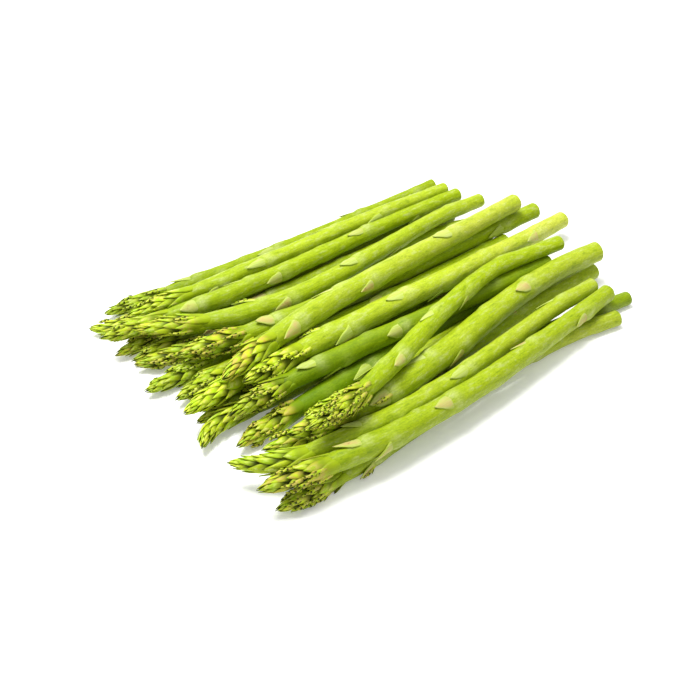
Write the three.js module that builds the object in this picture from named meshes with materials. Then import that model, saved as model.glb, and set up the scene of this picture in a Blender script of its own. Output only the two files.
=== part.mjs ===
// A bunch of green asparagus, 26 cut spears heaped side by side on a flat surface, all heads one way.
// Millimetres, +Z up. The spears lie along X: heads at -X, cut ends at +X. The heap stands on z = 0.
// Each spear is one solid: a bent round stalk with its scale leaves, which crowd together over the head.

import * as THREE from "three";

// Where each spear lies, seen from above, before it settles. bow is how far it curves sideways, towards +Y,
// at BOW_AT, shares of the way from its tip, and hook how far its head alone does, at most at HOOK_AT.
// layer is how high it starts in the heap, 0 for the lowest.
const BOW_AT = [0.2, 0.6];
const HOOK_AT = 0.07;
const SPEARS = [
  { tip: [-109, 91], butt: [113, 72], bow: [-3, -4], layer: 0, thick: 8.0, skin: "deep" },
  { tip: [-106, 76], butt: [105, 52], bow: [-2, 0], layer: 1.3, thick: 8.8, skin: "fresh" },
  { tip: [-121, 87], butt: [95, 64], bow: [-5, -1], hook: -6, layer: 0, thick: 9.6, skin: "deep" },
  { tip: [-126, 62], butt: [108, 54], bow: [-6, -4], layer: 1.2, thick: 9.4, skin: "fresh" },
  { tip: [-111, 60], butt: [113, 34], bow: [-19, -13], layer: 1.9, thick: 9.8, skin: "fresh" },
  { tip: [-122, 58], butt: [96, 54], bow: [0, 0], layer: 0, thick: 9.0, skin: "deep" },
  { tip: [-118, 50], butt: [98, 42], bow: [0, 0], layer: 0, thick: 8.4, skin: "deep" },
  { tip: [-119, 46], butt: [100, 29], bow: [-8, 0], layer: 0.3, thick: 9.6, skin: "fresh" },
  { tip: [-105, 28], butt: [126, 1], bow: [-6, -5], layer: 1, thick: 11.0, skin: "deep" },
  { tip: [-126, 24], butt: [93, 15], bow: [0, 0], layer: 0, thick: 9.4, skin: "deep" },
  { tip: [-118, 15], butt: [95, 2], bow: [3, 0], layer: 0, thick: 9.8, skin: "fresh" },
  { tip: [-104, -11], butt: [111, 7], bow: [6, 5], layer: 2.3, thick: 11.4, skin: "pale" },
  { tip: [-126, -16], butt: [98, 8], bow: [3, 2], layer: 0.9, thick: 10.4, skin: "fresh" },
  { tip: [-95, -12], butt: [136, -9], bow: [1, 0], layer: 2.1, thick: 11.6, skin: "pale" },
  { tip: [-119, -12], butt: [94, -10], bow: [1, 0], layer: 0, thick: 8.8, skin: "deep" },
  { tip: [-127, -20], butt: [97, -20], bow: [3, 4], hook: 8, layer: 0, thick: 9.6, skin: "fresh" },
  { tip: [-111, -24], butt: [94, -36], bow: [3, 2], layer: 1.2, thick: 10.2, skin: "fresh" },
  { tip: [-114, -38], butt: [103, -23], bow: [1, 0], layer: 0.5, thick: 10.4, skin: "deep" },
  { tip: [-97, -67], butt: [104, -34], bow: [-1, 11], layer: 2.3, thick: 9.6, skin: "fresh" },
  { tip: [-98, -58], butt: [119, -46], bow: [-9, -1], layer: 1.6, thick: 13.2, skin: "fresh" },
  { tip: [-127, -40], butt: [97, -66], bow: [-17, -14], hook: -7.5, layer: 0.9, thick: 10.0, skin: "pale" },
  { tip: [-129, -71], butt: [100, -73], bow: [-9, -10], layer: 1.3, thick: 11.0, skin: "fresh" },
  { tip: [-124, -78], butt: [97, -78], bow: [0, 7], layer: 0, thick: 9.8, skin: "fresh" },
  { tip: [-110, -63], butt: [115, -80], bow: [3, 6], layer: 0, thick: 9.2, skin: "deep" },
  { tip: [-107, -42], butt: [119, -49], bow: [-6, -4], layer: 0.5, thick: 10.8, skin: "fresh" },
  { tip: [-84, -42], butt: [104, -37], bow: [0, 0], layer: 0, thick: 9.2, skin: "deep" },
];
const SKIN_COLOURS = { fresh: 0x8fb82a, pale: 0xb9d64a, deep: 0x6a9324 };

// The round core: its radius as a share of the stalk's own, at distances from the tip.
const CORE = [
  [0, 0],
  [1.5, 0.12],
  [5, 0.34],
  [12, 0.62],
  [22, 0.82],
  [34, 0.9],
  [47, 0.96],
  [60, 1],
  [110, 0.97],
  [160, 0.91],
  [230, 0.8],
];

// The scale leaves stand in a spiral. On the head they overlap like tiles: the point of each lies between
// the ones 5 and 8 places on, and the one 13 places on covers its foot.
const GOLDEN_ANGLE = Math.PI * (3 - Math.sqrt(5));
const [LEFT, RIGHT, FOOT] = [5, 8, 13];
const HEAD_SCALES = 46;
const HEAD_LENGTH = 40;
const FIRST_SCALE = 1.6;
const SCALE_RISE = 1.1;
const SCALE_SUNK = 0.35;
const SCALE_LEAN = 0.9;

// Down the stalk they are single bracts, further and further apart.
const FIRST_BRACT = 54;
const BRACT_GAP = 13.5;
const BRACT_GAP_GROWTH = 1.25;
const BRACT_LONG = 13;
const BRACT_RISE = 0.85;
const LEAST_BRACT_RISE = 0.3;
const NODE_SWELL = 0.2;
const LAST_BRACT_FROM_CUT = 12;

// How the heap settles. Every spear keeps clear of the others by GAP, and its head by a little more.
const LAYER_HEIGHT = 9;
const PLANE_STEP = 5;
const GAP = 0.4;
const HEAD_ROOM = 0.4;
const PRESSED_FLAT = 0.3;
const FALL_PASSES = 2400;
const REST_PASSES = 900;
const FALL_STEP = 0.006;
const BEND_KEPT = 0.9;
const DRIFT_KEPT = 0.998;
const LINE_SAMPLES = 120;

function between(table, x) {
  let i = 1;
  while (i < table.length - 1 && table[i][0] < x) i++;
  const [x0, y0] = table[i - 1];
  const [x1, y1] = table[i];
  return y0 + (y1 - y0) * THREE.MathUtils.clamp((x - x0) / (x1 - x0), 0, 1);
}

function coreRadius(spear, s) {
  return (spear.thick / 2) * between(CORE, s);
}

// The room that a spear takes in the heap.
function fullRadius(spear, s) {
  const onHead = THREE.MathUtils.smoothstep(s, 0, 12) * (1 - THREE.MathUtils.smoothstep(s, 35, 60));
  return coreRadius(spear, s) + HEAD_ROOM * onHead;
}

// How far a spear's line is off the straight one, a share t of the way from its tip.
function bowAt(spear, t) {
  const [p, q] = BOW_AT;
  const upper = (t * (t - q) * (t - 1)) / (p * (p - q) * (p - 1));
  const lower = (t * (t - p) * (t - 1)) / (q * (q - p) * (q - 1));
  const head = (t / HOOK_AT) * Math.exp(1 - t / HOOK_AT);
  return spear.bow[0] * upper + spear.bow[1] * lower + (spear.hook ?? 0) * head;
}

// What a stiff spear may do, a share t of the way from its tip: move, turn, and bend a little.
function stiffShapes(spear, t) {
  const off = t - spear.middle;
  return [1, off, off * off - spear.spread];
}

// Cuts each spear by planes across the heap, PLANE_STEP apart, and notes its place and radii in each.
function lay(spear) {
  const [tipX, tipY] = spear.tip;
  const [buttX, buttY] = spear.butt;
  spear.reach = Math.hypot(buttX - tipX, buttY - tipY);
  spear.first = Math.ceil(tipX / PLANE_STEP);
  spear.cuts = [];
  for (let plane = spear.first; plane * PLANE_STEP <= buttX; plane++) {
    const t = (plane * PLANE_STEP - tipX) / (buttX - tipX);
    const y = tipY + (buttY - tipY) * t + bowAt(spear, t);
    const z = spear.layer * LAYER_HEIGHT + spear.thick / 2;
    const s = t * spear.reach;
    const slant = Math.hypot(1, (buttY - tipY) / (buttX - tipX));
    const core = coreRadius(spear, s) * slant;
    const full = fullRadius(spear, s) * slant;
    spear.cuts.push({ t, y, z, y0: y, z0: z, core, full });
  }
  const average = (of) => spear.cuts.reduce((total, cut) => total + of(cut), 0) / spear.cuts.length;
  spear.middle = average((cut) => cut.t);
  spear.spread = average((cut) => (cut.t - spear.middle) ** 2);
  for (const cut of spear.cuts) cut.shapes = stiffShapes(spear, cut.t);
}

// Moves two spears apart, in each plane where they meet, and lifts them off the surface.
function pushApart() {
  SPEARS.forEach((a, i) => {
    for (const b of SPEARS.slice(i + 1)) {
      const from = Math.max(a.first, b.first);
      const to = Math.min(a.first + a.cuts.length, b.first + b.cuts.length);
      for (let plane = from; plane < to; plane++) {
        const p = a.cuts[plane - a.first];
        const q = b.cuts[plane - b.first];
        const dy = q.y - p.y;
        const dz = q.z - p.z;
        const needed = p.full + q.full + GAP;
        if (dy * dy + dz * dz >= needed * needed) continue;
        const apart = Math.max(Math.hypot(dy, dz), 0.1);
        const push = (needed - apart) / 2 / apart;
        p.y -= dy * push;
        p.z -= dz * push;
        q.y += dy * push;
        q.z += dz * push;
      }
    }
    for (const cut of a.cuts) cut.z = Math.max(cut.z, cut.core - PRESSED_FLAT);
  });
}

// Keeps, of all that has moved a spear since the start, only what a stiff one may do.
function stiffen(spear) {
  for (const [now, start] of [["y", "y0"], ["z", "z0"]]) {
    const moved = [0, 1, 2].map((m) => {
      const sum = spear.cuts.reduce((total, cut) => total + (cut[now] - cut[start]) * cut.shapes[m], 0);
      return sum / spear.cuts.reduce((total, cut) => total + cut.shapes[m] ** 2, 0);
    });
    moved[2] *= BEND_KEPT;
    if (now === "y") moved[0] *= DRIFT_KEPT;
    if (now === "y") moved[1] *= DRIFT_KEPT;
    for (const cut of spear.cuts) {
      cut[now] = cut[start] + moved.reduce((total, amount, m) => total + amount * cut.shapes[m], 0);
    }
    spear["moved_" + now] = moved;
  }
}

function settle() {
  SPEARS.forEach(lay);
  for (let pass = 0; pass < FALL_PASSES + REST_PASSES; pass++) {
    if (pass < FALL_PASSES) SPEARS.forEach((spear) => spear.cuts.forEach((cut) => (cut.z -= FALL_STEP)));
    pushApart();
    SPEARS.forEach(stiffen);
  }
}

// The settled line of a spear, from its tip to its cut end.
function centreLine(spear) {
  const shift = (moved, t) => stiffShapes(spear, t).reduce((total, shape, m) => total + moved[m] * shape, 0);
  const steps = 24;
  const points = Array.from({ length: steps + 1 }, (_, i) => {
    const t = i / steps;
    return new THREE.Vector3(
      spear.tip[0] + (spear.butt[0] - spear.tip[0]) * t,
      spear.tip[1] + (spear.butt[1] - spear.tip[1]) * t + bowAt(spear, t) + shift(spear.moved_y, t),
      spear.cuts[0].z0 + shift(spear.moved_z, t),
    );
  });
  return new THREE.CatmullRomCurve3(points);
}

// The place on a bent spear of a point given by distance from the tip, the way round, and radius.
function placeOn(spear, s, angle, radius) {
  const u = THREE.MathUtils.clamp(s / spear.length, 0, 1);
  const along = spear.line.getTangentAt(u);
  const up = new THREE.Vector3(0, 0, 1).addScaledVector(along, -along.z).normalize();
  const side = new THREE.Vector3().crossVectors(along, up);
  const place = spear.line.getPointAt(u);
  place.addScaledVector(side, radius * Math.sin(angle)).addScaledVector(up, radius * Math.cos(angle));
  place.z = Math.max(place.z, 0);
  return place;
}

// How far a scale may rise here, by what it has of its own and by half of the free room to its neighbours.
function riseAt(spear, s, angle, ownRise) {
  const place = placeOn(spear, s, angle, coreRadius(spear, s));
  let room = ownRise;
  for (const other of SPEARS) {
    if (other === spear) continue;
    other.samples.forEach((sample, i) => {
      const free = place.distanceTo(sample) - coreRadius(other, (i / (LINE_SAMPLES - 1)) * other.length);
      room = Math.min(room, (free - GAP) / 2);
    });
  }
  return Math.max(room, 0);
}

// The head: an apex and two corners for every scale, its sunk root and its raised point.
function addHead(spear, corner, faces) {
  const distance = (m) => FIRST_SCALE + (HEAD_LENGTH - FIRST_SCALE) * (m / (HEAD_SCALES + FOOT - 1)) ** 1.6;
  const turn = (m) => (spear.number + m) * GOLDEN_ANGLE;
  const apex = corner(0, 0, 0);
  const roots = Array.from({ length: HEAD_SCALES + FOOT }, (_, m) => {
    const s = distance(m);
    const sunk = m < HEAD_SCALES ? SCALE_SUNK : 0;
    return corner(s, turn(m), Math.max(coreRadius(spear, s) - sunk, 0.4));
  });
  for (let m = 0; m < HEAD_SCALES; m++) {
    const s = distance(m);
    const radius = coreRadius(spear, s);
    const rise = riseAt(spear, s, turn(m), Math.min(SCALE_RISE, 0.2 + 0.35 * radius));
    const point = corner(s - Math.min(SCALE_LEAN, s / 3), turn(m), radius + rise);
    faces.push([point, roots[m + RIGHT], roots[m + FOOT]], [point, roots[m + FOOT], roots[m + LEFT]]);
    faces.push([roots[m + RIGHT], point, roots[m]], [point, roots[m + LEFT], roots[m]]);
  }
  for (let m = 0; m < LEFT; m++) faces.push([apex, roots[m + RIGHT], roots[m]]);
  for (let m = 0; m < RIGHT; m++) faces.push([apex, roots[m], roots[m + LEFT]]);
  const full = 2 * Math.PI;
  const wayRound = (m) => ((turn(m) % full) + full) % full;
  const rim = Array.from({ length: FOOT }, (_, i) => {
    const m = HEAD_SCALES + i;
    return { index: roots[m], angle: wayRound(m) };
  });
  return rim.sort((a, b) => a.angle - b.angle);
}

// The stalk's flat sides are placed so that one of them faces straight down.
function stalkColumns(rim) {
  const step = (2 * Math.PI) / FOOT;
  const shear = rim.reduce((total, { angle }, i) => total + angle - i * step, 0) / FOOT;
  const first = (Math.round((shear - Math.PI) / step - 0.5) + 0.5) * step + Math.PI;
  return Array.from({ length: FOOT }, (_, i) => first + i * step);
}

// The stalk below the head: rings of corners, two for each bract, where its point and its root are.
function addStalk(spear, corner, faces, rim) {
  const columns = stalkColumns(rim);
  const ring = (s) => columns.map((angle) => corner(s, angle, coreRadius(spear, s)));
  const next = (i) => (i + 1) % FOOT;
  const previous = (i) => (i + FOOT - 1) % FOOT;
  let above = rim.map(({ index }) => index);
  const band = (below, skipped) => {
    columns.forEach((_, i) => {
      if (skipped.includes(i)) return;
      faces.push([above[i], above[next(i)], below[i]], [above[next(i)], below[next(i)], below[i]]);
    });
    above = below;
  };
  let number = spear.number + HEAD_SCALES + FOOT;
  let gap = BRACT_GAP;
  for (let s = FIRST_BRACT; s < spear.length - LAST_BRACT_FROM_CUT; s += gap, gap *= BRACT_GAP_GROWTH) {
    const pointRing = ring(s - BRACT_LONG);
    band(pointRing, []);
    const offset = (((number * GOLDEN_ANGLE - columns[0]) / (2 * Math.PI)) * FOOT) % FOOT;
    const at = Math.round(offset) % FOOT;
    const rise = riseAt(spear, s - BRACT_LONG, columns[at], BRACT_RISE);
    const rootRing = ring(s);
    number += 1;
    if (rise < LEAST_BRACT_RISE) {
      band(rootRing, []);
      continue;
    }
    const point = corner(s - BRACT_LONG, columns[at], coreRadius(spear, s - BRACT_LONG) + rise);
    rootRing[at] = corner(s, columns[at], coreRadius(spear, s) + NODE_SWELL);
    const under = pointRing[at];
    const [left, right] = [previous(at), next(at)];
    faces.push([pointRing[left], under, rootRing[left]], [rootRing[left], under, point]);
    faces.push([under, pointRing[right], rootRing[right]], [under, rootRing[right], point]);
    faces.push([rootRing[left], point, rootRing[at]], [point, rootRing[right], rootRing[at]]);
    band(rootRing, [left, at]);
  }
  const cut = ring(spear.length);
  band(cut, []);
  const middle = corner(spear.length, 0, 0);
  columns.forEach((_, i) => faces.push([cut[i], cut[next(i)], middle]));
}

function spearGeometry(spear) {
  const corners = [];
  const faces = [];
  const corner = (s, angle, radius) => corners.push(placeOn(spear, s, angle, radius)) - 1;
  const rim = addHead(spear, corner, faces);
  addStalk(spear, corner, faces, rim);
  const geometry = new THREE.BufferGeometry().setFromPoints(corners);
  geometry.setIndex(faces.flat());
  return geometry;
}

settle();
SPEARS.forEach((spear, index) => {
  spear.number = index + 1;
  spear.line = centreLine(spear);
  spear.length = spear.line.getLength();
  spear.samples = spear.line.getSpacedPoints(LINE_SAMPLES - 1);
});

const bunch = new THREE.Group();
for (const spear of SPEARS) {
  const color = SKIN_COLOURS[spear.skin];
  const material = new THREE.MeshStandardMaterial({ color, roughness: 0.45, metalness: 0 });
  const mesh = new THREE.Mesh(spearGeometry(spear), material);
  mesh.name = "spear_" + String(spear.number).padStart(2, "0");
  bunch.add(mesh);
}

// The frame's origin is at the middle of the heap's footprint.
const extent = new THREE.Box3().setFromObject(bunch);
bunch.position.set(-(extent.min.x + extent.max.x) / 2, -(extent.min.y + extent.max.y) / 2, 0);

export default bunch;
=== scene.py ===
"""A bunch of green asparagus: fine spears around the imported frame, their skins, the light and the camera.

Each spear of the frame is cut across by planes to find its line and its thickness. A finer spear grows
round that line: a stalk with its nodes, thin bracts with buds behind them, and a head of scales in the same
spiral as the frame's. Blender 4.5, metres; a spear's own measures are in millimetres from its tip.
"""

import math
import random

import bpy
import numpy as np
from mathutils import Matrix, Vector


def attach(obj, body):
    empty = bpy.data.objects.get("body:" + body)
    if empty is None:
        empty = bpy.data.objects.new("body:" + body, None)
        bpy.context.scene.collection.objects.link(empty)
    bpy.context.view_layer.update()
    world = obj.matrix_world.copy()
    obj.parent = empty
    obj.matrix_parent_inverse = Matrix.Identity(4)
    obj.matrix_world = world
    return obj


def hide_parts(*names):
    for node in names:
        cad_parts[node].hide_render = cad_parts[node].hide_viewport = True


MM = 0.001
TURN = 2 * math.pi
GOLDEN_ANGLE = math.pi * (3 - math.sqrt(5))

# The frame's spears: the core's share of the half thickness at distances from the tip, and their spirals.
CORE_FROM_TIP = [0, 1.5, 5, 12, 22, 34, 47, 60, 110, 160, 230]
CORE_SHARE = [0, 0.12, 0.34, 0.62, 0.82, 0.9, 0.96, 1, 0.97, 0.91, 0.8]
FRAME_SIDES = 13
HEAD_SCALES = 46
SCALE_REACH = 13
HEAD_LENGTH = 40
FIRST_SCALE = 1.6
HEAD_POWER = 1.6
FIRST_BRACT = 54
BRACT_GAP = 13.5
BRACT_GAP_GROWTH = 1.25
LAST_BRACT_FROM_CUT = 12

# How each spear looks: open is the share of its head's scales that show a bud, light how bright its skin
# is painted, partly its own tone and partly painted light and shade for how lit its place in the heap is,
# pale how much of its stalk has gone yellow, or below 0 how much is deep green, and warm how far its
# scales and bracts are tinged with pink.
PLAIN_LOOK = dict(open=0.3, light=1.0, pale=0.3, warm=0.3)
LOOKS = {
    1: dict(open=0.15, light=0.8, pale=0.0, warm=0.1),
    2: dict(open=0.2, light=1.0, pale=0.3, warm=0.3),
    3: dict(open=0.05, light=1.0, pale=0.3, warm=0.4),
    4: dict(open=0.1, light=0.92, pale=0.0, warm=0.3),
    5: dict(open=0.15, light=0.98, pale=0.25, warm=0.4),
    6: dict(open=0.15, light=0.8, pale=-0.2, warm=0.5),
    7: dict(open=0.15, light=0.78, pale=-0.1, warm=0.3),
    8: dict(open=0.45, light=0.85, pale=0.0, warm=0.45),
    9: dict(open=0.35, light=0.9, pale=0.1, warm=0.65),
    10: dict(open=0.25, light=0.85, pale=-0.2, warm=0.1),
    11: dict(open=0.35, light=0.85, pale=-0.2, warm=0.2),
    12: dict(open=0.06, light=1.0, pale=0.7, warm=0.7),
    # Spear 13 lies in shade, so its skin is painted brighter: painted light.
    13: dict(open=0.04, light=1.25, pale=-0.1, warm=0.3),
    14: dict(open=0.25, light=1.05, pale=0.9, warm=0.3),
    15: dict(open=0.15, light=0.75, pale=-0.4, warm=0.3),
    16: dict(open=0.02, light=1.0, pale=-0.3, warm=0.3),
    17: dict(open=0.3, light=0.9, pale=-0.5, warm=0.4),
    18: dict(open=0.45, light=0.95, pale=-0.75, warm=0.6),
    19: dict(open=0.7, light=0.95, pale=0.0, warm=0.5),
    20: dict(open=0.2, light=0.93, pale=0.3, warm=0.5),
    21: dict(open=0.03, light=0.9, pale=0.35, warm=0.1),
    22: dict(open=0.4, light=0.85, pale=0.1, warm=0.6),
    23: dict(open=0.3, light=0.85, pale=0.4, warm=0.4),
    24: dict(open=0.2, light=0.8, pale=-0.4, warm=0.4),
    25: dict(open=0.2, light=1.0, pale=0.3, warm=0.5),
}

# The kinds of skin, in the order of a spear's materials.
STALK, SCALE, BRACT, CUT = range(4)


def smooth_step(low, high, x):
    t = np.clip((x - low) / (high - low), 0, 1)
    return t * t * (3 - 2 * t)


def spread(rng, low_high):
    """A number by chance between two, which are given as a pair."""
    return rng.uniform(*low_high)


class Line:
    """A bent line from a tip to a root, with a core radius along it, all in millimetres."""

    FEWEST_STEPS = 6

    def __init__(self, points, radius):
        steps = np.linalg.norm(np.diff(points, axis=0), axis=1)
        raw = np.concatenate([[0], np.cumsum(steps)])
        self.length = raw[-1]
        self.at = np.linspace(0, self.length, max(int(self.length), self.FEWEST_STEPS) + 1)
        self.points = np.stack([np.interp(self.at, raw, points[:, k]) for k in range(3)], -1)
        along = np.gradient(self.points, self.at, axis=0)
        self.along = along / np.linalg.norm(along, axis=1)[:, None]
        self.radius = radius

    def place(self, s, angle, radius):
        """The points at distances s from the tip, at these angles from the top and radii from the line."""
        s, angle, radius = np.broadcast_arrays(s, angle, radius)
        base = np.stack([np.interp(s, self.at, self.points[:, k]) for k in range(3)], -1)
        along = np.stack([np.interp(s, self.at, self.along[:, k]) for k in range(3)], -1)
        beyond = np.minimum(s, 0) + np.maximum(s - self.length, 0)
        base = base + along * beyond[..., None]
        up = np.array([0, 0, 1.0]) - along * along[..., 2:]
        up /= np.linalg.norm(up, axis=-1)[..., None]
        side = np.cross(along, up)
        out = side * np.sin(angle)[..., None] + up * np.cos(angle)[..., None]
        return base + out * radius[..., None]


class Skin:
    """Gathers closed skins into one mesh. Each corner keeps its grain, a place in millimetres whose third
    value runs along the fibres, and its leaf values: share from point to root, share from middle to edge,
    and a chance value of the leaf's own."""

    def __init__(self):
        self.size = 0
        self.points = []
        self.grain = []
        self.leaf = []
        self.faces = []
        self.kinds = []

    def loft(self, rings, grain, leaf, kind, end_kind=None):
        """Closes a skin over rings of points, in order from the tip, with a fan over each end."""
        count, around = rings.shape[:2]
        index = self.size + np.arange(count * around).reshape(count, around)
        after = np.roll(index, -1, axis=1)
        first, last = self.size + count * around + np.arange(2)
        a, b, c, d = index[:-1], after[:-1], after[1:], index[1:]
        walls = np.concatenate([np.stack(corners, -1).reshape(-1, 3) for corners in ((a, b, c), (a, c, d))])
        start = np.stack([np.full(around, first), after[0], index[0]], -1)
        end = np.stack([np.full(around, last), index[-1], after[-1]], -1)
        self.faces += [walls, start, end]
        self.kinds.append(np.full(len(walls) + around, kind))
        self.kinds.append(np.full(around, kind if end_kind is None else end_kind))
        for store, values in ((self.points, rings), (self.grain, grain), (self.leaf, leaf)):
            flat = values.reshape(-1, 3)
            store += [flat, flat[:around].mean(0)[None], flat[-around:].mean(0)[None]]
        self.size += count * around + 2

    def to_object(self, name, materials, look):
        points = np.concatenate(self.points)
        tint = np.tile([look["light"], look["pale"], look["warm"]], (len(points), 1))
        points[:, 2] = np.maximum(points[:, 2], 0)
        faces = np.concatenate(self.faces)
        mesh = bpy.data.meshes.new(name)
        mesh.vertices.add(len(points))
        mesh.vertices.foreach_set("co", (points * MM).astype(np.float32).ravel())
        mesh.loops.add(faces.size)
        mesh.loops.foreach_set("vertex_index", faces.astype(np.int32).ravel())
        mesh.polygons.add(len(faces))
        mesh.polygons.foreach_set("loop_start", np.arange(0, faces.size, 3, dtype=np.int32))
        mesh.polygons.foreach_set("material_index", np.concatenate(self.kinds).astype(np.int32))
        mesh.polygons.foreach_set("use_smooth", np.ones(len(faces), bool))
        for label, store in (("grain", self.grain), ("leaf", self.leaf), ("look", [tint])):
            attribute = mesh.attributes.new(label, "FLOAT_VECTOR", "POINT")
            attribute.data.foreach_set("vector", np.concatenate(store).astype(np.float32).ravel())
        for material in materials:
            mesh.materials.append(material)
        mesh.update(calc_edges=True)
        mesh.validate()
        made = bpy.data.objects.new(name, mesh)
        bpy.context.scene.collection.objects.link(made)
        return made


# How a spear of the frame is measured. Its sections start and end this far from its ends and lie this far
# apart, and its line is smoothed over this many of them to each side. A face of the cut end looks this
# squarely along X and lies this near the far end. The fine skin lies this far outside the frame's core.
SECTIONS_FROM_ENDS = 3
SECTION_STEP = 1.5
SMOOTH_REACH = 5
SMOOTH_WIDTH = 3.0
CUT_SQUARE = 0.8
CUT_NEAR = 6
SKIN_OUT = 0.1


def on_plane(near, far, x):
    """Where the lines from near to far pass through the plane at x."""
    share = (x - near[:, 0]) / (far[:, 0] - near[:, 0])
    return near + (far - near) * share[:, None]


def cross_sections(points, triangles, stations):
    """The middle (y, z) and the area of the section that each plane x = station cuts from a closed mesh."""
    rows = []
    corners = [points[triangles[:, k]] for k in range(3)]
    for x in stations:
        starts, ends = [], []
        for k in range(3):
            p, q, r = (corners[(k + i) % 3] for i in range(3))
            for side in (1, -1):
                past_p, past_q, past_r = (side * (corner[:, 0] - x) for corner in (p, q, r))
                alone = (past_p >= 0) & (past_q < 0) & (past_r < 0)
                on_q, on_r = (on_plane(p[alone], far[alone], x) for far in (q, r))
                starts.append(on_q if side > 0 else on_r)
                ends.append(on_r if side > 0 else on_q)
        start, end = np.concatenate(starts), np.concatenate(ends)
        cross = start[:, 1] * end[:, 2] - end[:, 1] * start[:, 2]
        twice = cross.sum()
        middle = [((start[:, k] + end[:, k]) * cross).sum() / 3 / twice for k in (1, 2)]
        rows.append(middle + [abs(twice) / 2])
    return np.array(rows)


def mesh_of(node):
    """A node's corners in millimetres and its triangles."""
    data = node.data
    points = np.zeros(len(data.vertices) * 3)
    data.vertices.foreach_get("co", points)
    data.calc_loop_triangles()
    triangles = np.zeros(len(data.loop_triangles) * 3, int)
    data.loop_triangles.foreach_get("vertices", triangles)
    return points.reshape(-1, 3) / MM, triangles.reshape(-1, 3)


def cut_middle(points, triangles):
    """The middle of a spear's cut end."""
    a, b, c = (points[triangles[:, k]] for k in range(3))
    normal = np.cross(b - a, c - a)
    size = np.linalg.norm(normal, axis=1)
    middle = (a + b + c) / 3
    end = (normal[:, 0] > CUT_SQUARE * size) & (middle[:, 0] > points[:, 0].max() - CUT_NEAR)
    return (middle[end] * size[end, None]).sum(0) / size[end].sum()


def smoothed(rough):
    """A row of points smoothed along the row, with both ends kept."""
    kernel = np.exp(-(np.arange(-SMOOTH_REACH, SMOOTH_REACH + 1) / SMOOTH_WIDTH) ** 2)
    weights = kernel / kernel.sum()
    before = 2 * rough[0] - rough[SMOOTH_REACH:0:-1]
    after = 2 * rough[-1] - rough[-2 : -2 - SMOOTH_REACH : -1]
    padded = np.vstack([before, rough, after])
    line = np.stack([np.convolve(padded[:, k], weights, "valid") for k in range(3)], -1)
    line[0], line[-1] = rough[0], rough[-1]
    return line


def measure(node):
    """The line of a frame's spear, from its tip to the middle of its cut end."""
    points, triangles = mesh_of(node)
    tip = points[points[:, 0].argmin()]
    cut = cut_middle(points, triangles)
    stations = np.arange(tip[0] + SECTIONS_FROM_ENDS, cut[0] - SECTIONS_FROM_ENDS, SECTION_STEP)
    sections = cross_sections(points, triangles, stations)
    line = smoothed(np.vstack([tip, np.column_stack([stations, sections[:, :2]]), cut]))
    # A section is slanted where the spear is, and it has the area of a polygon with the frame's sides.
    slope = np.gradient(line[1:-1, 1:], line[1:-1, 0], axis=0)
    straight = sections[:, 2] / np.sqrt(1 + (slope**2).sum(1))
    radius = np.sqrt(straight / (FRAME_SIDES / 2 * math.sin(TURN / FRAME_SIDES)))
    distance = stations - tip[0]
    stalk = distance > FIRST_BRACT
    half = float(np.median(radius[stalk] / np.interp(distance[stalk], CORE_FROM_TIP, CORE_SHARE)))
    return Line(line, lambda s: half * np.interp(s, CORE_FROM_TIP, CORE_SHARE) + SKIN_OUT)


# Each spear leaves this much of its half of a gap free, and no gap counts for more than this.
ROOM_LEFT = 0.1
MOST_ROOM = 9.0


def room_at(line, others, s, angle):
    """Half of the free room between a spear's skin and its neighbours, at each of these places."""
    places = line.place(s, angle, line.radius(s))
    room = np.full(len(places), MOST_ROOM)
    for other in others:
        apart = np.linalg.norm(places[:, None] - other.points[None], axis=2)
        gap = (apart - other.radius(other.at)[None]).min(1)
        room = np.minimum(room, gap / 2)
    return np.maximum(room - ROOM_LEFT, 0)


# What every leaf has: how its rings crowd to its point, how its edge is notched, how its sides curl down,
# less so on a core thinner than THIN_CORE, and how much of its thickness its point has.
RING_CROWDING = 0.9
NOTCH_DEPTH = 0.07
NOTCHES = 11
CURL_POWER = 1.7
THIN_CORE = 4
POINT_FLESH = 0.35
FULL_FLESH_AT = 4
LEAST_RADIUS = 0.05
# A chance value from 0 to 1 moves the notches and the grain this far.
NOTCH_SHIFT = 40
GRAIN_SHIFT = 50


def rounded(blunt):
    """An outline that widens from nothing at the point to its whole width at the root."""
    return lambda t: 1 - (1 - t) ** blunt


def add_leaf(
    skin, line, kind, point, root, angle, width, outline, rise, thick, chance,
    rings=8, across=7, twist=0.0, drop=0.35,
):
    """A leaf that hugs a line: from its point to its root, width to each side of angle, with outline as its
    share of that width and rise as its height over the core, both by the share from point to root. Its sides
    drop below its middle."""
    share = np.linspace(0, 1, rings) ** RING_CROWDING
    s = point + (root - point) * share
    ragged = 1 + NOTCH_DEPTH * np.sin(share * NOTCHES + chance * NOTCH_SHIFT)
    half = width * outline(share) * ragged
    over = np.linspace(-1, 1, across)
    under = np.linspace(1, -1, across - 2)
    u = np.concatenate([over, under])
    below = np.concatenate([np.zeros(across), np.ones(across - 2)])
    core = line.radius(s)
    height = rise(share)
    side_drop = drop * np.minimum(1, core / THIN_CORE)
    flesh = thick * (POINT_FLESH + (1 - POINT_FLESH) * np.minimum(1, share * FULL_FLESH_AT))
    curl = side_drop[:, None] * np.abs(u) ** CURL_POWER
    radius = (core + height)[:, None] - curl - below * flesh[:, None]
    radius = np.maximum(radius, LEAST_RADIUS)
    turn = twist * (1 - share)[:, None] + half[:, None] * u
    whole = np.zeros_like(turn)
    grain = [turn * core[:, None] + chance * GRAIN_SHIFT, radius, s[:, None] + whole]
    leaf = [share[:, None] + whole, np.abs(u) + whole, chance + whole]
    skin.loft(line.place(s[:, None], angle + turn, radius), np.stack(grain, -1), np.stack(leaf, -1), kind)


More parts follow.
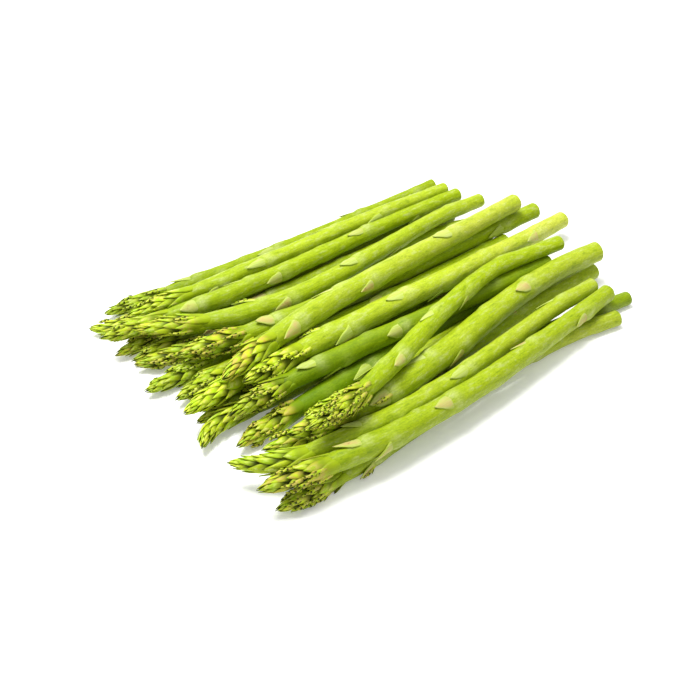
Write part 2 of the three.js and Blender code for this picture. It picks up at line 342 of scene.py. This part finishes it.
# A bud is a plump cone that lies along the stalk and is sunk into it at its root. Its body lies inside its
# own scales. They start near its point and cover this share of it, and each runs from and to this far from
# its start.
BUD_RADIUS = 1.35
BUD_BLUNT = 0.8
BUD_MIDDLE_LIFT = 0.8
BUD_SUNK = 0.5
BUD_RINGS = 6
BUD_COLUMNS = 8
BUD_INSIDE = 0.15
BUD_BODY_CHANCE = 0.9
BUD_SCALES = 8
BUD_FIRST_SCALE = 0.15
BUD_SCALED = 0.72
BUD_SCALE_CROWDING = 1.1
BUD_SCALE_FROM = -0.3
BUD_SCALE_TO = 2.2
BUD_SCALE_WIDTH = 0.75
BUD_SCALE_BLUNT = 1.8
BUD_SCALE_RISE = 0.42
BUD_SCALE_SUNK = 0.1
BUD_SCALE_THICK = 0.3
BUD_SCALE_TURN = 0.4


def add_bud(skin, line, root, angle, long, lift, rng):
    """A small side bud: a short plump cone of its own scales, from its root towards the spear's tip."""
    core = float(line.radius(root))
    heights = [float(line.radius(root - long)) + lift, core + lift * BUD_MIDDLE_LIFT, core - BUD_SUNK]
    ends = line.place(np.array([root - long, root - long * 0.5, root]), angle, np.array(heights))

    def cone_radius(s):
        share = np.clip(s / long * 0.8 + 0.06, 0, 1)
        return BUD_RADIUS * np.sin(share * math.pi / 2) ** BUD_BLUNT

    cone = Line(ends, cone_radius)
    s = np.linspace(0.1, cone.length, BUD_RINGS)
    around = np.linspace(0, TURN, BUD_COLUMNS, endpoint=False)
    body = cone.place(s[:, None], around, (cone.radius(s) - BUD_INSIDE)[:, None])
    leaf = np.zeros_like(body)
    leaf[..., 2] = BUD_BODY_CHANCE
    skin.loft(body, body, leaf, SCALE)
    for k in range(BUD_SCALES):
        start = BUD_FIRST_SCALE + cone.length * BUD_SCALED * (k / BUD_SCALES) ** BUD_SCALE_CROWDING
        add_leaf(
            skin,
            cone,
            SCALE,
            point=start + BUD_SCALE_FROM,
            root=start + BUD_SCALE_TO,
            angle=rng.random() * BUD_SCALE_TURN + k * GOLDEN_ANGLE,
            width=BUD_SCALE_WIDTH,
            outline=rounded(BUD_SCALE_BLUNT),
            rise=lambda t: BUD_SCALE_RISE * (1 - t**2) - BUD_SCALE_SUNK,
            thick=BUD_SCALE_THICK,
            chance=rng.random(),
            rings=4,
            across=5,
        )


# A scale of the head: its rise, thickness, half width and drop, and the ranges that chance picks from. It
# rises less on a thin core, and no further than just into the room that its neighbours leave.
SCALE_RISE = 1.15
THIN_RISE = 0.35
RISE_BY_CORE = 0.4
PRESSED = 0.15
SCALE_RISES = (0.8, 1.1)
SCALE_THICK = 0.5
SCALE_WIDTH = math.radians(39)
SCALE_WIDTHS = (0.7, 1.25)
SCALE_DROP = 0.4
SCALE_LEAN = 2.4
LEAN_BY_POINT = 0.4
SCALE_LEANS = (0.3, 1.3)
SCALE_BLUNTS = (1.3, 2.0)
SCALE_SHIFTS = (-0.15, 0.15)
SCALE_TURNS = (-0.16, 0.16)
SCALE_ROOT_SUNK = 1.5
# The first scales stay closed over the tip. The others may open or lift, the outer ones most.
FIRST_OPENED = 13
FIRST_LIFTED = 14
TIP_CLOSED = 0.45
OPENED_BACK = (0.3, 0.5)
BUD_SHOWS = 0.15
BUD_LONG = 0.95
BUD_ROOT_BACK = 1.0
LIFT_ROOM = 0.6
LEAST_LIFT = 0.2
OUTER_LIFT = 2.0
OUTER_WIDER = 0.2


def head_distance(m):
    """How far from the tip the point of scale m is. The scales crowd towards the tip."""
    share = m / (HEAD_SCALES + SCALE_REACH - 1)
    return FIRST_SCALE + (HEAD_LENGTH - FIRST_SCALE) * share**HEAD_POWER


def add_head(skin, line, others, number, look, rng):
    """The head's scales in the frame's own spiral, some of them opened over a bud."""
    m = np.arange(HEAD_SCALES)
    turns = (number + m) * GOLDEN_ANGLE
    room = room_at(line, others, head_distance(m), turns)
    for i in range(HEAD_SCALES):
        outer = i / (HEAD_SCALES - 1)
        point = head_distance(i)
        root = head_distance(i + SCALE_REACH) + SCALE_ROOT_SUNK
        thin = THIN_RISE + RISE_BY_CORE * float(line.radius(point))
        highest = min(SCALE_RISE, thin, room[i] + PRESSED)
        rise = highest * spread(rng, SCALE_RISES)
        chance = rng.random()
        opened = i >= FIRST_OPENED and rng.random() < look["open"]
        lean = min(SCALE_LEAN, point * LEAN_BY_POINT) * spread(rng, SCALE_LEANS)
        closed = TIP_CLOSED if i < FIRST_LIFTED else rng.uniform(0.0, TIP_CLOSED)
        blunt = spread(rng, SCALE_BLUNTS)
        if opened:
            long = (root - point) * BUD_LONG
            add_bud(skin, line, root - BUD_ROOT_BACK, turns[i], long, rise + BUD_SHOWS, rng)
            point += (root - point) * spread(rng, OPENED_BACK)
        point += spread(rng, SCALE_SHIFTS) * (root - point)
        lift = 0
        if room[i] > LIFT_ROOM and i >= FIRST_LIFTED:
            lift = rng.uniform(0, 1) ** 1.5 * (LEAST_LIFT + OUTER_LIFT * outer)

        def height(t):
            """High in the middle, closed down at the point or lifted there, and sunk at the root."""
            middle = rise * (1 - t**2.4) * (1 - closed * np.maximum(1 - t * 3, 0))
            return middle + lift * (1 - t) ** 3 - 0.5 * t

        add_leaf(
            skin,
            line,
            SCALE,
            point=point - lean,
            root=root,
            angle=turns[i] + spread(rng, SCALE_TURNS),
            width=SCALE_WIDTH * spread(rng, SCALE_WIDTHS) * (1 + OUTER_WIDER * outer),
            outline=rounded(blunt),
            rise=height,
            thick=SCALE_THICK,
            chance=chance,
            twist=spread(rng, SCALE_TURNS),
            drop=SCALE_DROP,
        )


# A bract of the stalk. The first ones lift most, and may have a bud behind them.
BRACT_LONG = 13.5
BRACT_LONGS = (0.85, 1.1)
BRACT_WIDTH = math.radians(56)
BRACT_WIDTHS = (0.75, 1.1)
BRACT_BLUNT = 1.5
BRACT_THICK = 0.35
BRACT_DROP = 0.3
BRACT_TWISTS = (-0.2, 0.2)
BRACT_LIFTS = (0.4, 1)
BRACT_ROOT_SUNK = 1.0
YOUNG_BRACTS = 2
YOUNG_LIFT = 2.2
OLD_LIFT = 0.9
BUD_NEEDS_LIFT = 0.3
BRACTS_WITH_BUD = 0.5
BRACT_BUD_LONG = 0.8


def bract_places(line, number):
    """Where the bracts down a spear's stalk are: distance from the tip and angle."""
    column = TURN / FRAME_SIDES
    places = []
    s, gap, m = FIRST_BRACT, BRACT_GAP, number + HEAD_SCALES + SCALE_REACH
    while s < line.length - LAST_BRACT_FROM_CUT:
        places.append((s, round(m * GOLDEN_ANGLE / column) * column))
        s, gap, m = s + gap, gap * BRACT_GAP_GROWTH, m + 1
    return places


def add_bracts(skin, line, others, places, rng):
    """Thin bracts pressed to the stalk. The first ones stand off most."""
    roots = np.array([s for s, _ in places])
    angles = np.array([angle for _, angle in places])
    room = room_at(line, others, roots - BRACT_LONG, angles)
    for i, (root, angle) in enumerate(places):
        young = i < YOUNG_BRACTS
        long = BRACT_LONG * spread(rng, BRACT_LONGS)
        lift = min(YOUNG_LIFT if young else OLD_LIFT, room[i]) * spread(rng, BRACT_LIFTS)
        if young and lift > BUD_NEEDS_LIFT and rng.random() < BRACTS_WITH_BUD:
            add_bud(skin, line, root - BUD_ROOT_BACK, angle, long * BRACT_BUD_LONG, lift, rng)
        add_leaf(
            skin,
            line,
            BRACT,
            point=root - long,
            root=root + BRACT_ROOT_SUNK,
            angle=angle,
            width=BRACT_WIDTH * spread(rng, BRACT_WIDTHS),
            outline=rounded(BRACT_BLUNT),
            rise=lambda t: 0.12 + lift * (1 - t) ** 1.5 + 0.3 * (1 - t**2) - 0.1 * t,
            thick=BRACT_THICK,
            chance=rng.random(),
            rings=12,
            across=11,
            twist=spread(rng, BRACT_TWISTS),
            drop=BRACT_DROP,
        )


# The stalk's rings: the first ones from the tip, the last ones from the cut end, and those between. The
# core is sunk under the head's scales, ribbed and wavy below them, and swollen round each bract's root. The
# grain of each spear is taken from a place of its own.
STALK_COLUMNS = 36
STALK_STEP = 1.8
TIP_RINGS = [0.3, 1, 2]
EVEN_FROM_TIP = 3.5
EVEN_FROM_CUT = 2.5
CUT_RINGS = [1.8, 0.9]
RIM_RINGS = [0.25, 0]
RIM_SHARES = [0.93, 0.78]
CORE_SUNK = 0.45
CORE_SINKS = (HEAD_LENGTH - 6, HEAD_LENGTH + 6)
LEAST_CORE = 0.15
FIVE_RIBS = 0.05
NINE_RIBS = 0.03
RIBS_START = (30, 60)
NODE_SWELL = 0.8
SWELL_BEFORE = 2.4
SWELL_AFTER = 7.0
NODE_MARK = 3.0
SKIN_WAVES = 0.16
LONG_WAVE = 5.3
SHORT_WAVE = 3.1
WAVE_TWIST = 17
WAVES_START = (50, 80)
SPEARS_APART = 40


def add_stalk(skin, line, places, number):
    """The whole core from the tip to the cut end, swollen at the nodes."""
    length = line.length
    even = np.arange(EVEN_FROM_TIP, length - EVEN_FROM_CUT, STALK_STEP)
    s = np.concatenate([TIP_RINGS, even, [length - ring for ring in CUT_RINGS]])
    angle = np.linspace(0, TURN, STALK_COLUMNS, endpoint=False)
    sunk = CORE_SUNK * (1 - smooth_step(*CORE_SINKS, s))
    core = np.maximum(line.radius(s) - sunk, LEAST_CORE)
    ribs = FIVE_RIBS * np.cos(5 * angle + number) + NINE_RIBS * np.cos(9 * angle + 2 * number)
    radius = core[:, None] + ribs * smooth_step(*RIBS_START, s)[:, None]
    node = np.zeros_like(radius)
    for root, bract_angle in places:
        facing = 0.5 + 0.5 * np.cos(angle - bract_angle)
        after = s - root - BRACT_ROOT_SUNK
        swell = np.exp(-((after / np.where(after > 0, SWELL_AFTER, SWELL_BEFORE)) ** 2))
        radius = radius + NODE_SWELL * facing**1.5 * swell[:, None]
        node = np.maximum(node, facing**3 * np.exp(-((after / NODE_MARK) ** 2))[:, None])
    waves = np.sin(s / LONG_WAVE + number) * np.sin(s / SHORT_WAVE + 2 * number)
    waves = waves * smooth_step(*WAVES_START, s)
    radius = radius + SKIN_WAVES * waves[:, None] * np.cos(angle * 2 + s[:, None] / WAVE_TWIST + number)
    s = np.concatenate([s, [length - ring for ring in RIM_RINGS]])
    radius = np.vstack([radius, radius[-1] * np.array(RIM_SHARES)[:, None]])
    node = np.vstack([node, node[-2:]])
    rings = line.place(s[:, None], angle, radius)
    flat = np.broadcast_to(s[:, None], radius.shape)
    grain = np.stack([radius * np.cos(angle), radius * np.sin(angle) + number * SPEARS_APART, flat], -1)
    leaf = np.stack([flat / length, radius / radius.max(), node], -1)
    skin.loft(rings, grain, leaf, STALK, CUT)


def build_spears(frame):
    """A fine spear for every spear of the frame, which it then stands for."""
    materials = [stalk_skin(), scale_skin(), bract_skin(), cut_skin()]
    names = sorted(frame["nodes"])
    lines = {name: measure(frame["nodes"][name]) for name in names}
    for number, name in enumerate(names, 1):
        line = lines[name]
        others = [other for key, other in lines.items() if key != name]
        look = LOOKS.get(number, PLAIN_LOOK)
        rng = random.Random(number)
        places = bract_places(line, number)
        skin = Skin()
        add_stalk(skin, line, places, number)
        add_head(skin, line, others, number, look, rng)
        add_bracts(skin, line, others, places, rng)
        piece = skin.to_object("fine_" + name, materials, look)
        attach(piece, "root")
        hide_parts(name)


class Nodes:
    """A short way to write shader nodes. A value is a number, a colour or another node's output."""

    def __init__(self, tree):
        self.tree = tree

    def node(self, kind, inputs, **settings):
        node = self.tree.nodes.new(kind)
        for key, value in settings.items():
            setattr(node, key, value)
        for key, value in inputs.items():
            if isinstance(value, bpy.types.NodeSocket):
                self.tree.links.new(value, node.inputs[key])
            else:
                node.inputs[key].default_value = value
        return node

    def math(self, operation, a, b, clamp=False):
        return self.node("ShaderNodeMath", {0: a, 1: b}, operation=operation, use_clamp=clamp).outputs[0]

    def times(self, a, b):
        return self.math("MULTIPLY", a, b)


class Material(Nodes):
    """A material whose patterns follow a place. A fineness is how often a pattern repeats in one unit of each
    of the place's three values, so a low third value draws it out along the fibres."""

    def __init__(self, name):
        self.made = bpy.data.materials.new(name)
        self.made.use_nodes = True
        super().__init__(self.made.node_tree)
        self.shader = self.tree.nodes["Principled BSDF"]

    def attribute(self, name):
        """A mesh attribute as a vector, and its three values."""
        vector = self.node("ShaderNodeAttribute", {}, attribute_name=name).outputs["Vector"]
        parts = self.node("ShaderNodeSeparateXYZ", {0: vector}).outputs
        return vector, parts[0], parts[1], parts[2]

    def stretched(self, place, fineness):
        return self.node("ShaderNodeVectorMath", {0: place, 1: fineness}, operation="MULTIPLY").outputs[0]

    def noise(self, place, fineness, detail=2.0, roughness=0.5):
        vector = self.stretched(place, fineness)
        inputs = {"Vector": vector, "Scale": 1.0, "Detail": detail, "Roughness": roughness}
        return self.node("ShaderNodeTexNoise", inputs).outputs["Fac"]

    def cells(self, place, fineness):
        """The distance to the nearest of many scattered spots."""
        inputs = {"Vector": self.stretched(place, fineness), "Scale": 1.0}
        return self.node("ShaderNodeTexVoronoi", inputs).outputs["Distance"]

    def ease(self, value, low, high, to_low=0.0, to_high=1.0):
        inputs = {"Value": value, "From Min": low, "From Max": high, "To Min": to_low, "To Max": to_high}
        return self.node("ShaderNodeMapRange", inputs, interpolation_type="SMOOTHSTEP").outputs[0]

    def mix(self, share, a, b):
        return self.node("ShaderNodeMix", {0: share, 6: a, 7: b}, data_type="RGBA").outputs[2]

    def lit(self, colour, light):
        """The colour, brighter or darker by a factor."""
        scaled = self.node("ShaderNodeVectorMath", {0: colour, "Scale": light}, operation="SCALE")
        return scaled.outputs[0]

    def bump(self, height, strength, distance):
        inputs = {"Height": height, "Strength": strength, "Distance": distance}
        return self.node("ShaderNodeBump", inputs).outputs["Normal"]

    def finish(self, colour, roughness, normal, constants):
        for key, value in (("Base Color", colour), ("Roughness", roughness), ("Normal", normal)):
            self.tree.links.new(value, self.shader.inputs[key])
        for key, value in constants.items():
            self.shader.inputs[key].default_value = value
        return self.made


def rgb(red, green, blue):
    return (red, green, blue, 1.0)


DEEP_GREEN = rgb(0.10, 0.20, 0.002)
FRESH_GREEN = rgb(0.37, 0.49, 0.004)
YELLOWED = rgb(0.50, 0.55, 0.055)
WAX = rgb(0.56, 0.62, 0.24)
OLIVE = rgb(0.28, 0.36, 0.003)
LEAF_GREEN = rgb(0.27, 0.45, 0.003)
# A near black used as painted shade in crevices and under scales.
PAINTED_SHADE = rgb(0.02, 0.03, 0.001)
SCALE_GREEN = rgb(0.47, 0.60, 0.012)
SCALE_PAINTED_HIGHLIGHT = rgb(0.64, 0.72, 0.19)
ROSE = rgb(0.46, 0.27, 0.05)
PAPERY = rgb(0.55, 0.62, 0.22)
TAN = rgb(0.60, 0.43, 0.17)
DRY_BROWN = rgb(0.22, 0.11, 0.03)
CUT_CREAM = rgb(0.56, 0.62, 0.24)

# The skins are a little waxy, and some light passes through them.
SKIN_SHADER = {
    "Subsurface Weight": 0.04,
    "Subsurface Scale": 0.0014,
    "Subsurface Radius": (1.0, 1.0, 0.2),
    "IOR": 1.4,
    "Specular IOR Level": 0.25,
}
BUMP_DEPTH = 0.0002

# How fine the patterns of the skins are.
STREAKS = (1.3, 1.3, 0.09)
CLOUDS = (0.11, 0.11, 0.05)
PATCHES = (0.45, 0.45, 0.16)
DOTS = (0.9, 0.9, 0.45)
PITS = (0.55, 0.55, 0.3)
SPECKLE = (1.5, 1.5, 0.8)
RIDGES = (2.2, 2.2, 0.08)
PORES = (3.0, 3.0, 1.2)
SCALE_VEINS = (2.4, 1.0, 0.15)
SCALE_MOTTLE = (0.6, 0.6, 0.35)
SCALE_CLOUDS = (0.12, 0.12, 0.12)
BRACT_VEINS = (2.0, 1.0, 0.12)
BRACT_BLOTS = (0.3, 0.3, 0.22)
CUT_BUNDLES = (1.3, 1.3, 0.0)
CUT_CLOUDS = (0.5, 0.5, 0.0)

# The head's scales are this much brighter than the stalk that carries them.
HEAD_BRIGHTER = 1.14


def stalk_skin():
    m = Material("asparagus_stalk")
    grain, _, _, s = m.attribute("grain")
    _, along, _, node = m.attribute("leaf")
    _, light, pale, _ = m.attribute("look")
    streaks = m.noise(grain, STREAKS, 4.0, 0.65)
    clouds = m.noise(grain, CLOUDS, 3.0, 0.6)
    patches = m.noise(grain, PATCHES, 4.0, 0.65)

    # Streaks of two greens, deeper next to the head.
    green = m.mix(m.ease(streaks, 0.25, 0.6), DEEP_GREEN, FRESH_GREEN)
    green = m.mix(0.6, green, FRESH_GREEN)
    green = m.mix(m.ease(along, 0.5, 0.1, 0.0, 0.22), green, DEEP_GREEN)

    # A pale spear yellows in clouds, most at its cut end. A deep one gets greener all over.
    yellow = m.times(m.math("ADD", m.times(m.ease(along, 0.2, 0.95), 0.75), 0.25), pale)
    yellow = m.math("MULTIPLY", yellow, m.ease(clouds, 0.3, 0.7, 0.45, 1.3), clamp=True)
    colour = m.mix(yellow, green, YELLOWED)
    waxy = m.times(m.ease(patches, 0.5, 0.7, 0.0, 0.4), m.ease(pale, -0.6, 0.0, 0.1, 1.0))
    colour = m.mix(waxy, colour, WAX)
    deep = m.times(m.math("MULTIPLY", pale, -1.0, clamp=True), m.ease(clouds, 0.3, 0.7, 0.7, 1.1))
    colour = m.mix(deep, colour, DEEP_GREEN)
    colour = m.mix(m.ease(patches, 0.46, 0.3, 0.0, 0.4), colour, DEEP_GREEN)

    # Papery skin round the nodes, green dots, waxy pits and fine speckle.
    colour = m.mix(m.times(node, m.ease(patches, 0.3, 0.6, 0.1, 0.5)), colour, PAPERY)
    dots = m.ease(m.cells(grain, DOTS), 0.0, 0.2, 0.7, 0.0)
    colour = m.mix(m.times(dots, m.ease(clouds, 0.42, 0.58)), colour, DEEP_GREEN)
    pits = m.ease(m.cells(grain, PITS), 0.0, 0.13, 0.8, 0.0)
    colour = m.mix(m.times(pits, m.ease(clouds, 0.55, 0.42)), colour, WAX)
    speckle = m.noise(grain, SPECKLE, 3.0, 0.7)
    colour = m.lit(colour, m.ease(speckle, 0.36, 0.64, 0.88, 1.08))

    # Under the head's scales the core is painted as dark as a crevice: painted shade between the scales.
    colour = m.mix(m.ease(s, HEAD_LENGTH - 2, HEAD_LENGTH - 10, 0.0, 0.85), colour, PAINTED_SHADE)
    colour = m.lit(colour, light)

    ridges = m.noise(grain, RIDGES)
    pores = m.noise(grain, PORES, 3.0)
    height = m.math("ADD", m.math("ADD", ridges, pores), m.times(patches, 1.5))
    roughness = m.ease(pores, 0.2, 0.8, 0.3, 0.5)
    return m.finish(colour, roughness, m.bump(height, 0.5, BUMP_DEPTH), SKIN_SHADER)


def scale_skin():
    m = Material("asparagus_head_scale")
    grain, _, _, s = m.attribute("grain")
    _, share, edge, chance = m.attribute("leaf")
    _, light, pale, warm = m.attribute("look")
    veins = m.noise(grain, SCALE_VEINS)
    mottle = m.noise(grain, SCALE_MOTTLE, 3.0, 0.6)
    clouds = m.noise(grain, SCALE_CLOUDS)

    # Each scale has a green of its own, with veins, a painted highlight in its middle and a blush by
    # chance.
    own = m.ease(m.math("ADD", chance, m.times(pale, 0.5)), 0.0, 1.0)
    green = m.mix(own, OLIVE, SCALE_GREEN)
    green = m.mix(m.times(m.ease(veins, 0.35, 0.75), 0.5), green, SCALE_GREEN)
    green = m.mix(m.ease(clouds, 0.45, 0.6, 0.0, 0.75), green, LEAF_GREEN)
    middle = m.times(m.ease(edge, 0.75, 0.1), m.ease(share, 0.75, 0.2))
    colour = m.mix(m.times(middle, m.ease(mottle, 0.42, 0.62, 0.0, 0.7)), green, SCALE_PAINTED_HIGHLIGHT)
    blush = m.times(m.ease(mottle, 0.36, 0.58), m.ease(chance, 0.3, 0.7, 0.0, 1.0))
    colour = m.mix(m.math("MULTIPLY", blush, warm, clamp=True), colour, ROSE)
    # Its edges are painted dark: painted shade where they lie over the scales below.
    colour = m.mix(m.ease(edge, 0.78, 0.97, 0.0, 0.85), colour, m.mix(0.5, OLIVE, PAINTED_SHADE))

    # Its foot is painted dark as painted shade under the other scales, and as green as the stalk at the
    # head's end.
    outer = m.ease(s, HEAD_LENGTH - 18, HEAD_LENGTH - 3)
    stalk_green = m.mix(m.math("MULTIPLY", pale, -1.0, clamp=True), FRESH_GREEN, DEEP_GREEN)
    stalk_green = m.mix(0.2, stalk_green, DEEP_GREEN)
    foot = m.math("ADD", share, m.times(outer, 0.15))
    colour = m.mix(m.ease(foot, 0.4, 0.8, 0.0, 0.92), colour, m.mix(outer, PAINTED_SHADE, stalk_green))
    brighter = m.ease(s, HEAD_LENGTH - 20, HEAD_LENGTH - 5, HEAD_BRIGHTER, 1.0)
    colour = m.lit(colour, m.times(light, brighter))

    height = m.math("ADD", veins, m.times(mottle, 0.7))
    roughness = m.ease(mottle, 0.2, 0.8, 0.4, 0.58)
    return m.finish(colour, roughness, m.bump(height, 0.5, BUMP_DEPTH), SKIN_SHADER)


def bract_skin():
    m = Material("asparagus_bract")
    grain, _, _, _ = m.attribute("grain")
    _, share, edge, chance = m.attribute("leaf")
    _, light, _, warm = m.attribute("look")
    veins = m.noise(grain, BRACT_VEINS)
    blots = m.noise(grain, BRACT_BLOTS, 3.0, 0.6)

    # Papery with green veins, with a tan blush or a brown blot by chance, away from its edge and foot.
    colour = m.mix(m.ease(veins, 0.3, 0.7, 0.3, 0.75), FRESH_GREEN, PAPERY)
    middle = m.times(m.ease(edge, 0.95, 0.4), m.ease(share, 0.9, 0.6))
    tinted = m.times(m.ease(m.math("ADD", chance, warm), 0.8, 1.3), middle)
    colour = m.mix(m.times(tinted, m.ease(blots, 0.3, 0.6, 0.2, 0.9)), colour, TAN)
    brown = m.times(m.ease(blots, 0.52, 0.68), m.ease(chance, 0.5, 0.9, 0.0, 0.85))
    colour = m.mix(m.times(brown, middle), colour, DRY_BROWN)
    colour = m.mix(m.ease(edge, 0.82, 1.0, 0.0, 0.6), colour, FRESH_GREEN)
    colour = m.mix(m.ease(share, 0.7, 0.95, 0.0, 0.6), colour, FRESH_GREEN)
    # A thin dark line at its root is painted shade where the bract meets the stalk.
    colour = m.mix(m.ease(share, 0.93, 0.99, 0.0, 0.8), colour, DEEP_GREEN)
    colour = m.lit(colour, light)

    roughness = m.ease(veins, 0.2, 0.8, 0.42, 0.6)
    return m.finish(colour, roughness, m.bump(veins, 0.4, 0.75 * BUMP_DEPTH), SKIN_SHADER)


def cut_skin():
    """Pale flesh with the brown ends of the fibre bundles."""
    m = Material("asparagus_cut_end")
    grain, _, _, _ = m.attribute("grain")
    bundles = m.cells(grain, CUT_BUNDLES)
    clouds = m.noise(grain, CUT_CLOUDS, 3.0)
    colour = m.mix(m.ease(bundles, 0.18, 0.34, 0.6, 0.0), CUT_CREAM, DRY_BROWN)
    colour = m.mix(m.ease(clouds, 0.4, 0.8, 0.0, 0.4), colour, YELLOWED)
    roughness = m.ease(clouds, 0.2, 0.8, 0.5, 0.7)
    return m.finish(colour, roughness, m.bump(bundles, 0.5, 1.5 * BUMP_DEPTH), SKIN_SHADER)


# The camera looks along the heap from above its left near corner. AIM shows in the middle of the picture.
AIM = Vector((-0.0261, -0.0098, -0.0028))
CAMERA_AZIMUTH = math.radians(40)
CAMERA_PITCH = math.radians(40)
CAMERA_DISTANCE = 0.620
CAMERA_LENS = 61.7
CAMERA_NEAR = 0.01
SENSOR = 36.0


def add_camera():
    level = math.cos(CAMERA_PITCH)
    x, y = math.sin(CAMERA_AZIMUTH) * level, math.cos(CAMERA_AZIMUTH) * level
    forward = Vector((x, y, -math.sin(CAMERA_PITCH)))
    data = bpy.data.cameras.new("camera")
    data.lens = CAMERA_LENS
    data.sensor_width = SENSOR
    data.clip_start = CAMERA_NEAR
    camera = bpy.data.objects.new("camera", data)
    camera.location = AIM - forward * CAMERA_DISTANCE
    camera.rotation_euler = forward.to_track_quat("-Z", "Y").to_euler()
    bpy.context.scene.collection.objects.link(camera)
    bpy.context.scene.camera = camera


# A square key light high up at the back left, which faces the middle of the heap.
KEY_PLACE = Vector((-0.14, 0.27, 1.18))
KEY_SIZE = 0.5
KEY_POWER = 19.0


def add_key_light():
    data = bpy.data.lights.new("key", "AREA")
    data.shape = "SQUARE"
    data.size = KEY_SIZE
    data.energy = KEY_POWER
    lamp = bpy.data.objects.new("key", data)
    lamp.location = KEY_PLACE
    lamp.rotation_euler = (-KEY_PLACE).to_track_quat("-Z", "Y").to_euler()
    bpy.context.scene.collection.objects.link(lamp)


SKY_STRENGTH = 1.04
SKY_LOW = 0.25
SKY_BRIGHTEST = (-0.12, 0.25, 0.96)
HAZE = 0.9
HAZE_TOP = 0.2


def add_sky():
    """A white sky with haze at the horizon, brightest high up behind the heap and dimmer away from there."""
    world = bpy.data.worlds.new("studio")
    bpy.context.scene.world = world
    world.use_nodes = True
    sky = Nodes(world.node_tree)
    direction = sky.node("ShaderNodeTexCoord", {}).outputs["Generated"]
    facing = sky.node("ShaderNodeVectorMath", {0: direction, 1: SKY_BRIGHTEST}, operation="DOT_PRODUCT")
    shade = sky.node("ShaderNodeMapRange", {"Value": facing.outputs["Value"], "To Min": SKY_LOW})
    height = sky.node("ShaderNodeSeparateXYZ", {0: direction}).outputs["Z"]
    inputs = {"Value": height, "From Min": HAZE_TOP, "From Max": HAZE_TOP / 2, "To Max": HAZE}
    haze = sky.node("ShaderNodeMapRange", inputs)
    background = world.node_tree.nodes["Background"]
    brighter = sky.math("MAXIMUM", shade.outputs[0], haze.outputs[0])
    sky.tree.links.new(brighter, background.inputs["Color"])
    background.inputs["Strength"].default_value = SKY_STRENGTH


FLOOR_UNDER = -0.0002
FLOOR_SIZE = 40
FLOOR_GLOW = 0.19
FLOOR_GREY = rgb(0.82, 0.82, 0.82)
FLOOR_WHITE = rgb(0.86, 0.86, 0.86)
FLOOR_GRAIN = (180.0, 180.0, 180.0)


def add_floor():
    m = Material("studio_floor")
    place = m.node("ShaderNodeNewGeometry", {}).outputs["Position"]
    fine = m.noise(place, FLOOR_GRAIN, 3.0)
    colour = m.mix(m.ease(fine, 0.3, 0.7), FLOOR_GREY, FLOOR_WHITE)
    roughness = m.ease(fine, 0.2, 0.8, 0.55, 0.65)
    glow = {"Emission Color": rgb(1, 1, 1), "Emission Strength": FLOOR_GLOW}
    m.finish(colour, roughness, m.bump(fine, 0.05, 0.5 * BUMP_DEPTH), glow)
    bpy.ops.mesh.primitive_plane_add(size=FLOOR_SIZE, location=(0, 0, FLOOR_UNDER))
    floor = bpy.context.object
    floor.name = "floor"
    floor.data.materials.append(m.made)


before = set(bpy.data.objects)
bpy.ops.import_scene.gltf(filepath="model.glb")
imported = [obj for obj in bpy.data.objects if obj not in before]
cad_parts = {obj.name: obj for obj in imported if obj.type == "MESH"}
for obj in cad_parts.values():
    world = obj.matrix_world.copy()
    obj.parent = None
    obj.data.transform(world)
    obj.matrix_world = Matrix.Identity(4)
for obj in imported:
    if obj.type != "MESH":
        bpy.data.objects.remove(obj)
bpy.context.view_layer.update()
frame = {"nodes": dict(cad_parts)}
build_spears(frame)
add_floor()
add_camera()
add_key_light()
add_sky()
bpy.context.scene.view_settings.view_transform = "Standard"
